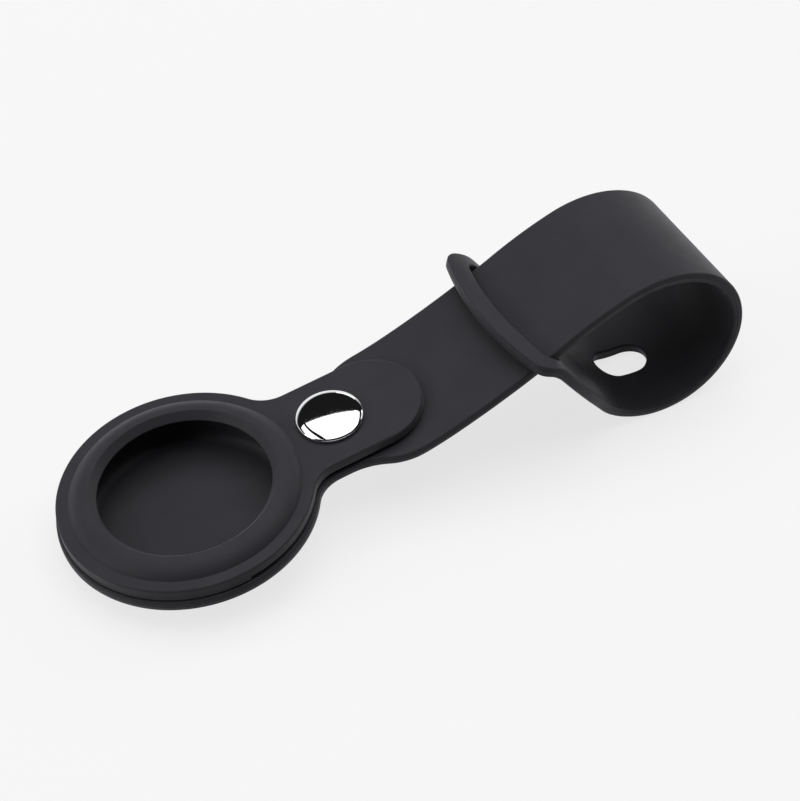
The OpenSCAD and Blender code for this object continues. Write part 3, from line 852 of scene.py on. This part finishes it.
SILICONE = silicone()
CHROME = metal("polished_chrome", (0.86, 0.87, 0.88), 0.03, 0.06, 600.0)
NICKEL = metal("satin_nickel", (0.66, 0.65, 0.63), 0.33, 0.36, 300.0)
WIRE = metal("drawn_wire", (0.55, 0.55, 0.56), 0.25, 0.4, 2500.0)


def dress(obj, mat):
    """Gives the object this material alone."""
    obj.data.materials.clear()
    obj.data.materials.append(mat)


# The pieces
lower = make_lower()
dress(lower, SILICONE)
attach(lower, "case")
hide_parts("case_back", "strap", "strap_end")

upper = make_upper()
dress(upper, SILICONE)
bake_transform(upper)
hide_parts("front_cover", "cover_flap")

skirt = make_skirt()
dress(skirt, SILICONE)
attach(skirt, "case")

cap = make_cap()
dress(cap, CHROME)
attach(cap, "flap")
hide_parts("snap_cap")

for node, mat in (("snap_socket", NICKEL), ("snap_spring", WIRE), ("snap_stud", NICKEL),
                  ("snap_post", NICKEL)):
    dress(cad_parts[node], mat)

# Studio, in metres
BACKGROUND = 0.94
STUDIO_SIZE, STUDIO_Z = 6.0, -0.02 * MM
# the paper's colour for bounced light and as seen, its glow, and where both give way to white
PAPER_BOUNCE, PAPER_SEEN = 0.22, 0.25
FLOOR_GLOW = 0.745
FADE_FROM, FADE_TO = 0.3, 0.9
# the room's strengths, and the heights and depths at which the mirrored room goes dark
AMBIENT, CEILING = 0.05, 0.01
CEILING_LOW, CEILING_HIGH = 0.22, 0.42
CAMERA_SIDE, BACK_SIDE = -0.2, 0.3

scene = bpy.context.scene
scene.view_settings.view_transform = "Standard"


def paper():
    """Grey paper that camera, mirror and glass rays see as white, with the object's shadow.
    Away from the object it goes over to the background's white."""
    m, graph, bsdf = material("pale_paper")
    path = graph.nodes.new("ShaderNodeLightPath").outputs
    seen = graph.maths("MAXIMUM", path["Is Camera Ray"], path["Is Glossy Ray"])
    seen = graph.maths("MAXIMUM", seen, path["Is Transmission Ray"])
    reach = graph.nodes.new("ShaderNodeVectorMath")
    reach.operation = "LENGTH"
    coord = graph.nodes.new("ShaderNodeTexCoord")
    graph.feed(reach.inputs[0], coord.outputs["Object"])

    def fading(near, far):
        return graph.ranged(reach.outputs["Value"], near, far, FADE_FROM, FADE_TO, "SMOOTHSTEP")

    graph.settings(bsdf, roughness=0.9, specular_ior_level=0.0,
                   base_color=graph.ranged(seen, PAPER_BOUNCE, fading(PAPER_SEEN, 0.0)),
                   emission_color=(1, 1, 1, 1),
                   emission_strength=graph.maths("MULTIPLY", seen,
                                                 fading(FLOOR_GLOW, BACKGROUND)))
    return m


def sheet(name, size, z):
    """A level square at height z."""
    mesh = bpy.data.meshes.new(name)
    s = size / 2
    mesh.from_pydata([(-s, -s, z), (s, -s, z), (s, s, z), (-s, s, z)], [], [(0, 1, 2, 3)])
    obj = bpy.data.objects.new(name, mesh)
    scene.collection.objects.link(obj)
    return obj


floor = sheet("studio_floor", STUDIO_SIZE, STUDIO_Z)
dress(floor, paper())


def light_the_room():
    """White all round for camera and glass rays. Mirrors see it behind the object alone, up to
    a dark ceiling, and all other rays get a dim even light."""
    scene.world = bpy.data.worlds.new("studio")
    scene.world.use_nodes = True
    graph = Graph(scene.world.node_tree)
    path = graph.nodes.new("ShaderNodeLightPath").outputs
    way = graph.nodes.new("ShaderNodeTexCoord")
    split = graph.nodes.new("ShaderNodeSeparateXYZ")
    graph.feed(split.inputs["Vector"], way.outputs["Generated"])
    wall = graph.ranged(split.outputs["Z"], BACKGROUND, CEILING, CEILING_LOW, CEILING_HIGH,
                        "SMOOTHSTEP")
    behind = graph.ranged(split.outputs["Y"], 0.0, 1.0, CAMERA_SIDE, BACK_SIDE, "SMOOTHSTEP")
    mirrored_room = graph.maths("MULTIPLY", wall, behind)
    indirect = graph.mixed(path["Is Glossy Ray"], AMBIENT, mirrored_room)
    direct = graph.maths("MAXIMUM", path["Is Camera Ray"], path["Is Transmission Ray"])
    sky = graph.nodes["Background"]
    graph.settings(sky, color=(1, 1, 1, 1), strength=graph.mixed(direct, indirect, BACKGROUND))


light_the_room()


def softbox(name, place_at, look_at, size, power, spin=0.0):
    """A lamp that the camera doesn't see: a rectangle in metres, turned by spin about its aim."""
    light = bpy.data.lights.new(name, "AREA")
    light.shape = "RECTANGLE"
    light.size, light.size_y = size
    light.energy = power
    obj = bpy.data.objects.new(name, light)
    scene.collection.objects.link(obj)
    obj.location = place_at
    way = Vector(look_at) - Vector(place_at)
    aim = way.to_track_quat("-Z", "Y").to_matrix() @ Matrix.Rotation(math.radians(spin), 3, "Z")
    obj.rotation_euler = aim.to_euler()
    obj.visible_camera = False


# The two overhead panels are spun so that their edges lie in the snap cap as photographed
PANEL_SPIN, MIDDLE = -18.0, (0, 0, 0)
softbox("overhead", (0.20, 0.14, 1.05), (0.20, 0.14, 0), (1.15, 1.25), 7.6, PANEL_SPIN)
softbox("overhead_left", (-0.80, 0.34, 0.95), (-0.80, 0.34, 0), (0.6, 1.3), 3.4, PANEL_SPIN)
softbox("left_low", (-1.10, 0.10, 0.36), MIDDLE, (0.6, 0.45), 2.5)
softbox("right_low", (1.05, 0.20, 0.50), MIDDLE, (0.5, 0.5), 2.0)
softbox("back_strip", (0.62, 0.95, 0.44), MIDDLE, (0.38, 0.16), 0.2)

# Camera, with its place and directions in the case's own frame, fitted to the photograph
SENSOR_W, FOCAL_LEN = 36.0, 128.778
NEAR_CLIP, FAR_CLIP = 0.02, 20.0
EYE = (-72.755, -274.806, 312.011)
FORWARD = (0.251333, 0.635905, -0.729697)
RIGHT = (0.870242, -0.478473, -0.117231)
camera_data = bpy.data.cameras.new("camera")
camera_data.sensor_width, camera_data.lens = SENSOR_W, FOCAL_LEN
camera_data.clip_start, camera_data.clip_end = NEAR_CLIP, FAR_CLIP
camera = bpy.data.objects.new("camera", camera_data)
scene.collection.objects.link(camera)
right, forward = (Vector(v) for v in turn(np.array([RIGHT, FORWARD])))
axes = Matrix((right, right.cross(forward), -forward)).transposed()
camera.matrix_world = Matrix.Translation(at(*EYE)) @ axes.to_4x4()
scene.camera = camera
